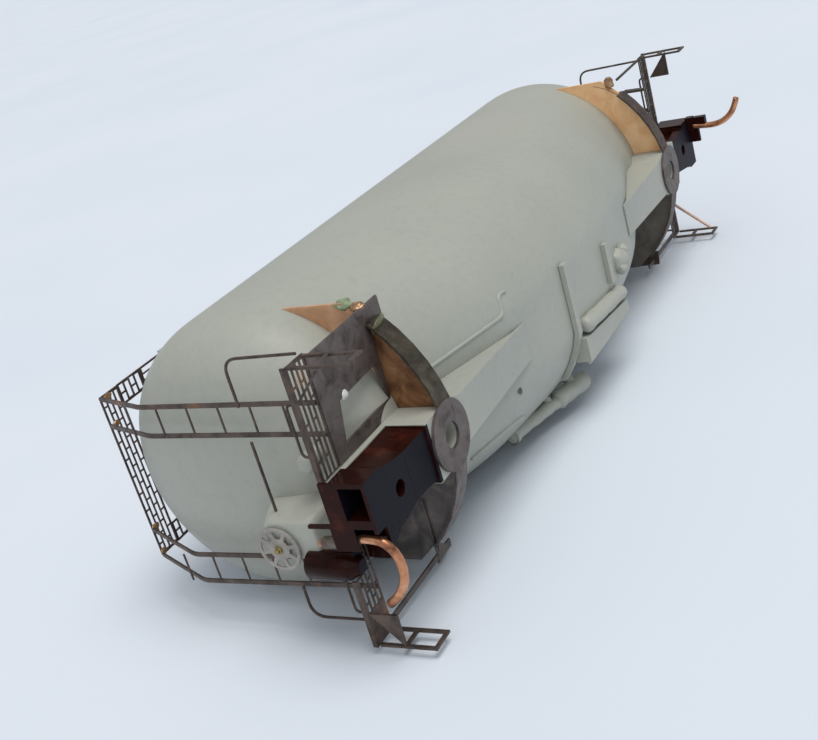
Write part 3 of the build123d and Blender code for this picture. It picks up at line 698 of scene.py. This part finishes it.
# Etched roof walks: slots along the sides with cross bars at the corners, and slots across the ends
BOARD_RIMS = (BOARD_RIM, BOARD_RIM)
BOARD_MARGINS = (0.3, 0.3)
WALK_SIDE = LADDER_OUT + 0.05
for flank, sy in SIDES:
    sheet = bmesh.new()
    add_grating(sheet, (BOARD_IN, WALK_SIDE), (-CROSS_IN, CROSS_IN), 3, BOARD_BAR, BOARD_RIMS, 20,
                BOARD_MARGINS, lambda u, v, w, sy=sy: Vector((v, sy * u, w)), BOARD_TOP)
    for end, sx in ENDS:
        add_grating(sheet, (CROSS_IN, BOARD_END), (BOARD_IN, WALK_SIDE), 4, ETCH, (0.3, ETCH), 1, BOARD_RIMS,
                    corner_place(sx, sy), BOARD_TOP)
    make_piece("roof_walk_" + flank, sheet, brass, ["running_board_" + flank])
for end, sx in ENDS:
    sheet = bmesh.new()
    add_grating(sheet, (BOARD_END + 0.02, BOARD_END + BOARD_WIDE), (-LADDER_OUT, LADDER_OUT), 4, BOARD_BAR,
                BOARD_RIMS, 9, BOARD_MARGINS, corner_place(sx, 1), BOARD_TOP)
    make_piece("roof_walk_" + end, sheet, brass, ["running_board_" + end])

# Handrail hoops, broken where the ladders stand, and low grab bars, of wire
for end, sx in ENDS:
    leg, top, gap = (HOOP_LEFT, HOOP_TOP, -1.5) if end == "near" else (HOOP_FAR, HOOP_FAR_TOP, -RAIL_IN)
    sheet = bmesh.new()
    for part in (((leg, FOOT), (leg - 0.15, top), (RAIL_OUT, top)),
                 ((RAIL_IN, top), (gap, top)),
                 ((-RAIL_OUT, top), (-HOOP_RIGHT, top), (-HOOP_RIGHT, FOOT))):
        run = [(sx * HOOP_X, y, z) for y, z in part]
        add_tube(sheet, rounded(run, 2.0, 8), 0.2, 0.18)
    make_piece("hoop_" + end, sheet, brass, ["handrail_" + end])
    for flank, sy in SIDES:
        sheet = bmesh.new()
        rail = [(sx * GRAB_X, sy * y, z) for y, z in ((GRAB_IN, FOOT), (GRAB_IN, GRAB_Z), (GRAB_OUT, GRAB_Z),
                                                      (GRAB_OUT, FOOT))]
        if (end, flank) == ("near", "right"):
            rail[:2] = [(GRAB_X, -9.1, GRAB_Z), (GRAB_X, -9.6, GRAB_Z)]
        add_tube(sheet, rounded(rail, 0.7, 5), 0.17)
        make_piece(f"grab_{end}_{flank}", sheet, brass, [f"low_grab_{end}_{flank}"])

# End ladders: flat etched rails that lean in over the head, with wire rungs.
# Columns of the path: distance from the middle of the car, height, splay away from the car's middle line
LADDER_PATH = ((61.98, FOOT, SPLAY), (61.98, 12.0, 0.2), (61.98, 33.6, 0.5), (61.85, 34.4, 0.5),
               (61.55, 35.2, 0.48), (57.8, 44.1, -0.2))
RAIL_SECTION = ((-0.13, -0.28), (0.13, -0.28), (0.13, 0.28), (-0.13, 0.28))
for end, sx in ENDS:
    for flank, sy in SIDES:
        sheet = bmesh.new()
        for y in LADDER_SIDES:
            sections = []
            for before, here, after in zip(LADDER_PATH[:1] + LADDER_PATH, LADDER_PATH,
                                           LADDER_PATH[1:] + LADDER_PATH[-1:]):
                lean = Vector((after[0] - before[0], after[1] - before[1])).normalized()
                sections.append([(sx * (here[0] + lean.y * t), sy * (y + here[2] + w), here[1] - lean.x * t)
                                 for t, w in RAIL_SECTION])
            add_stack(sheet, sections)
        for i in range(RUNGS):
            z = RUNG_FIRST + RUNG_STEP * i
            splay = SPLAY + 0.014 * (z - FOOT)
            add_tube(sheet, [(sx * 62.0, sy * (y + splay), z) for y in LADDER_SIDES], 0.14, sides=6)
        make_piece(f"climb_{end}_{flank}", sheet, brass, [f"ladder_{end}_{flank}"])

# Train hoses of bent copper wire, and the sleeve of the near one; columns y, z
NEAR_HOSE = ((-3.95, 11.55), (-3.72, 9.6), (-3.45, 7.6), (-3.25, 5.9), (-3.27, 4.6), (-3.6, 3.3),
             (-4.5, 2.35), (-5.8, 1.85), (-7.3, 1.8), (-8.9, 2.25), (-10.5, 3.35), (-11.85, 4.95))
FAR_HOSE = ((3.4, 8.9), (3.25, 6.0), (2.9, 2.0), (2.6, -0.6), (2.6, -2.6), (3.1, -4.3), (4.2, -5.75),
            (5.6, -6.65), (6.9, -7.2))
for end, sx, hose in (("near", 1, NEAR_HOSE), ("far", -1, FAR_HOSE)):
    sheet = bmesh.new()
    add_tube(sheet, flowing([(sx * HOSE_X, y, z) for y, z in hose]), HOSE_R, sides=20, end_round=0.2)
    make_piece("hose_" + end, sheet, wire, ["train_hose_" + end], 50)
sheet = bmesh.new()
low, high = Vector((HOSE_X, -3.55, 8.12)), Vector((HOSE_X, -3.86, 11.05))
reach = (high - low).length
collar = [(0, 0.56), (0, 0.7), (0.12, 0.76), (reach - 0.2, 0.78), (reach, 0.68), (reach, 0.56)]
add_lathe(sheet, collar, low, high - low, 28)
make_piece("sleeve_near", sheet, sleeve, ["hose_sleeve_near"])

# Brake wheel: rounded rim and hub, eight spokes, and the pin
SPOKES = 8
SPOKE_TURN = 12
SPOKE_THICK = 0.1
centre = Vector((WHEEL_X - 0.2, WHEEL_Y - 0.15, WHEEL_Z))
sheet = bmesh.new()
for inner, outer in ((2.42, 2.88), (0.0, 1.42)):
    ring = [(-0.1, inner), (-0.13, inner + 0.06), (-0.13, outer - 0.06), (-0.07, outer), (0.07, outer),
            (0.13, outer - 0.06), (0.13, inner + 0.06), (0.1, inner)]
    add_lathe(sheet, ring + ring[:1] if inner > 0 else ring, centre, (1, 0, 0), 64)
for i in range(SPOKES):
    a = math.radians(360 / SPOKES * i + SPOKE_TURN)
    out, along = Vector((0, math.cos(a), math.sin(a))), Vector((0, -math.sin(a), math.cos(a)))
    add_stack(sheet, [[centre + out * radius + along * half * p + Vector((SPOKE_THICK * q, 0, 0))
                       for p, q in ((-1, -1), (-1, 1), (1, 1), (1, -1))]
                      for radius, half in ((1.3, 0.3), (1.9, 0.2), (2.5, 0.24))], caps=())
make_piece("wheel", sheet, wheel_metal, ["brake_wheel"])
sheet = bmesh.new()
stem = [(-0.6, 0.3), (0.14, 0.3), (0.16, 0.5), (0.3, 0.48), (0.36, 0.34), (0.66, 0.3), (0.72, 0.16),
        (0.72, 0)]
add_lathe(sheet, stem, centre, (1, 0, 0), 24)
make_piece("wheel_pin", sheet, pin)

# Brake housing: a casting with soft corners, tapered toward the wheel.
# Columns: x, half width, half height, height of the centre, corner radius
HOUSING_Y = -4.4
HOUSING = ((58.3, 3.2, 4.8, 16.6, 0.9), (60.6, 3.1, 4.4, 16.55, 0.9), (62.6, 2.85, 3.95, 16.45, 1.1),
           (64.0, 2.6, 3.62, 16.4, 1.3), (64.3, 2.45, 3.5, 16.4, 1.3), (64.4, 2.2, 3.25, 16.4, 1.3))
CORNER_STEPS = 5
sections = []
for x, half_y, half_z, z, corner in HOUSING:
    section = []
    for sy, sz, start in ((1, 1, 0), (-1, 1, 90), (-1, -1, 180), (1, -1, 270)):
        for k in range(CORNER_STEPS + 1):
            a = math.radians(start + 90 * k / CORNER_STEPS)
            section.append((x, HOUSING_Y + sy * (half_y - corner) + corner * math.cos(a),
                            z + sz * (half_z - corner) + corner * math.sin(a)))
    sections.append(section)
sheet = bmesh.new()
add_stack(sheet, sections, caps=(-1,))
make_piece("housing", sheet, resin, ["brake_housing"], 50)

# Brake cylinder with its end caps and foot
DRUM = ((0, 0), (0, 0.8), (1.35, 1.68), (1.6, 1.74), (6.85, 1.74), (7.0, 1.64), (7.05, 1.4), (7.05, 0))
sheet = bmesh.new()
add_lathe(sheet, DRUM, (CYLINDER_X, CYLINDER_Y, CYLINDER_LOW), (0, 0, 1), 40)
add_block(sheet, CYLINDER_X - 1.4, CYLINDER_X + 0.4, CYLINDER_Y + 0.2, CYLINDER_Y + 1.9, 8.3, 9.9)
make_piece("drum", sheet, plastic, ["brake_cylinder"])

# Thin bars: the brace that is the near left gusset, a stray wire beside the far left deck, the bar that
# is this deck, and the tip of the far left web's edge.
# Columns: name, path, half width, half thickness, sides, replaced nodes
for name, path, wide, thick, sides, replaced in (
        ("brace_near_left", ((65.55, 17.4, 4.5), (65.55, 13.7, 8.1)), 0.15, 0.15, 6, ["gusset_near_left"]),
        ("stray_bar_far_left", ((-60.4, 12.6, 8.25), (-51.4, 14.7, 8.25)), 0.16, 0.16, 6, ()),
        ("deck_bar_far", ((-61.6, 17.65, 8.3), (-48.4, 17.5, 8.3)), 0.24, 0.24, 8, ["deck_far_left"]),
        ("web_edge_far", ((-48.2, 17.2, 12.7), (-48.2, 16.45, 10.8), (-48.2, 15.3, 9.0), (-48.2, 13.3, 6.7)),
         0.32, 0.34, 8, ())):
    sheet = bmesh.new()
    add_tube(sheet, path, wide, thick, sides)
    make_piece(name, sheet, brass, replaced)

# Closed side of the far coupler box, and dark plastic blocks and a plate that paint the shade inside the open
# near one; columns x, x, y, y, z, z
BOX_BLOCKS = (
    ("cheek_far", ((-66.4, -61.5, 3.98, 4.38, 2.75, 8.05), (-66.2, -64.7, 1.9, 4.6, 1.5, 2.8),
                   (-66.3, -65.0, 2.75, 4.45, -0.8, 1.55), (-66.3, -65.6, -0.3, 2.3, 0.8, 2.7))),
    # Painted shade: dark blocks and a plate set where the near box and the deck beside it lie only in shadow
    ("painted_shade_near", ((61.6, 66.0, -3.85, -1.35, 8.1, 8.45), (61.6, 64.3, -3.85, -3.5, 3.2, 8.45),
                     (62.7, 64.5, -6.3, -3.3, 8.55, 9.9), (60.9, 61.65, -8.2, -3.9, 5.2, 9.4),
                     (65.98, 66.2, -4.4, -1.4, 5.9, 9.0))),
)
for name, blocks in BOX_BLOCKS:
    sheet = bmesh.new()
    for spans in blocks:
        add_block(sheet, *spans)
    make_piece(name, sheet, plastic)

# The inner end of the near coupler box, which fills the front of the sill up to the centre plate.
# Columns: x, half width at the bottom and at the top, height of the bottom
ROOT_TOP = 7.2
ROOT = ((52.25, 3.75, 3.86, 1.95), (52.75, 3.75, 3.86, 1.98), (52.78, 3.35, 3.84, 2.3),
        (55.0, 3.2, 3.82, 2.6), (57.6, 3.2, 3.8, 2.63))
STRIP_IN = 2.4
STRIP_LOW = 2.64
sheet = bmesh.new()
add_stack(sheet, [((x, low_half, bottom), (x, high_half, ROOT_TOP), (x, -high_half, ROOT_TOP),
                   (x, -low_half, bottom)) for x, low_half, high_half, bottom in ROOT])
for flank, sy in SIDES:
    add_stack(sheet, [[(x, sy * y, z) for y, z in ((low_half, STRIP_LOW), (high_half, ROOT_TOP),
                                                   (STRIP_IN, ROOT_TOP), (STRIP_IN, STRIP_LOW))]
                      for x, low_half, high_half in ((57.6, 3.2, 3.8), (62.2, 3.85, 3.88))])
make_piece("box_root_near", sheet, plastic)

# A plate under the far right web
FOOT_PLATE = ((-14.9, 12.4), (-15.3, 7.2), (-17.8, 7.5), (-17.9, 12.3))
sheet = bmesh.new()
add_stack(sheet, [[(x, y, z) for y, z in FOOT_PLATE] for x in (-48.7, -48.4)])
make_piece("web_foot_far", sheet, brass)

# What is left of the right deck at the near bolster
DECK_SCRAP = ((45.2, -17.5), (49.1, -17.7), (47.9, -15.4))
sheet = bmesh.new()
add_tube(sheet, [(48.62, -8.7, 8.3), (48.55, -17.2, 8.3)], 0.17, sides=6)
add_stack(sheet, [[(x, y, z) for x, y in DECK_SCRAP] for z in (8.14, 8.4)])
make_piece("deck_scrap_near", sheet, plate)

# Traces of the building: solder, putty, flux and glue, with two pale glue blobs on the near head that paint
# highlights, and a dark spot on the belly that paints a shadow.
# Columns: name, material, slot, centre, half sizes, seed of the roughness, axis
MARKS = (
    ("putty_near", putty, "resin", (47.6, 17.4, 11.3), (0.95, 1.25, 0.65), 3, (0, 1, 0)),
    ("solder_near", solder, "etched_brass", (48.3, 17.3, 9.0), (0.9, 0.9, 0.4), 5, (0, 1, 0)),
    ("flux_near", green_flux, "etched_brass", (47.9, 14.7, 7.3), (1.2, 1.5, 0.2), 7, (0, -0.75, -1)),
    ("glue_near", glue_and_highlight, "resin", (57.0, 10.3, 8.3), (0.7, 0.55, 0.35), 11, (0, 0, 1)),
    ("solder_far", solder, "etched_brass", (-47.8, 17.3, 9.6), (1.0, 0.8, 1.1), 13, (0, 1, 0)),
    # Painted highlights: pale glue blobs on the near head, set where glints show
    ("glue_and_highlight_head", glue_and_highlight, "resin", (59.5, -1.7, 17.6), (0.22, 0.25, 1.0), 17, (0, 0, 1)),
    ("glue_and_highlight_side", glue_and_highlight, "resin", (55.6, 16.1, 24.4), (0.2, 0.3, 0.5), 19, (0, 0, 1)),
    # Painted shadow: a dark flat spot where the hook's shadow falls on the belly
    ("shadow_mark_belly", painted_shadow_spot, "resin", (26.3, -5.6, 2.95), (0.5, 0.5, 0.06), 23, (0, 0, 1)),
    ("solder_walk_1", solder, "etched_brass", (56.6, 11.3, 44.1), (0.7, 0.5, 0.22), 29, (0, 0, 1)),
    ("solder_walk_2", solder, "etched_brass", (56.9, 7.6, 44.1), (0.6, 0.5, 0.2), 31, (0, 0, 1)),
    ("solder_walk_3", solder, "etched_brass", (57.2, -7.6, 44.1), (0.6, 0.5, 0.2), 37, (0, 0, 1)),
    ("solder_walk_4", solder, "etched_brass", (57.4, -11.3, 44.1), (0.5, 0.45, 0.2), 41, (0, 0, 1)),
)
MARK_ROUGH = 0.45
for name, made, slot, at, sizes, seed, axis in MARKS:
    sheet = bmesh.new()
    add_blob(sheet, at, sizes, seed, MARK_ROUGH, axis)
    make_piece(name, sheet, made, (), 80)

# Camera: a pinhole solved from the photograph, in the car frame
PHOTO_WIDE = 818
FOCAL_PIXELS = 1229.4
EYE = (159.685, 61.246, -67.717)
AIM = (7.844, -10.224, 31.060)
UP = (-0.45106, 0.89117, -0.04857)
back = direction(*(Vector(EYE) - Vector(AIM)))
side = direction(*UP).cross(back).normalized()
camera_data = bpy.data.cameras.new("camera")
camera_data.sensor_width = 36.0
camera_data.lens = camera_data.sensor_width * FOCAL_PIXELS / PHOTO_WIDE
camera_data.clip_start = 0.005
camera_data.clip_end = 20.0
camera = bpy.data.objects.new("camera", camera_data)
axes = Matrix((side, back.cross(side), back)).transposed().to_4x4()
camera.matrix_world = Matrix.Translation(CAR @ Vector(EYE)) @ axes
bpy.context.scene.collection.objects.link(camera)
bpy.context.scene.camera = camera


# Floor, lamps and world; the floor's half size is in metres
FLOOR_HALF = 6.0


def add_floor():
    made, tree, shader, place = start_material("floor_paper")
    tint = add_ramp(tree, add_noise(tree, place, 9, 2),
                    [(0.3, (0.70, 0.76, 0.84)), (0.7, (0.74, 0.79, 0.86))])
    tree.links.new(tint, shader.inputs["Base Color"])
    shader.inputs["Roughness"].default_value = 0.7
    shader.inputs["Specular IOR Level"].default_value = 0.2
    sheet = bmesh.new()
    bmesh.ops.create_grid(sheet, x_segments=8, y_segments=8, size=FLOOR_HALF)
    mesh = bpy.data.meshes.new("floor")
    sheet.to_mesh(mesh)
    mesh.materials.append(made)
    floor = bpy.data.objects.new("floor", mesh)
    bpy.context.scene.collection.objects.link(floor)


def add_sun(name, toward, strength, wide, colour):
    data = bpy.data.lights.new(name, "SUN")
    data.energy = strength
    data.angle = math.radians(wide)
    data.color = colour
    lamp = bpy.data.objects.new(name, data)
    lamp.rotation_mode = "QUATERNION"
    lamp.rotation_quaternion = Vector(toward).to_track_quat("Z", "Y")
    bpy.context.scene.collection.objects.link(lamp)


def add_world():
    world = bpy.data.worlds.new("soft_sky")
    world.use_nodes = True
    tree = world.node_tree
    shade = tree.nodes["Background"]
    shade.inputs["Color"].default_value = (0.90, 0.94, 1.0, 1.0)
    shade.inputs["Strength"].default_value = 0.42
    bpy.context.scene.world = world


add_floor()
add_sun("key", (0.0, 0.27, 1.0), 1.8, 38, (1.0, 0.98, 0.95))
add_sun("fill", (0.7, 0.1, 0.6), 0.45, 60, (1.0, 0.98, 0.96))
add_world()
bpy.context.scene.view_settings.view_transform = "Standard"
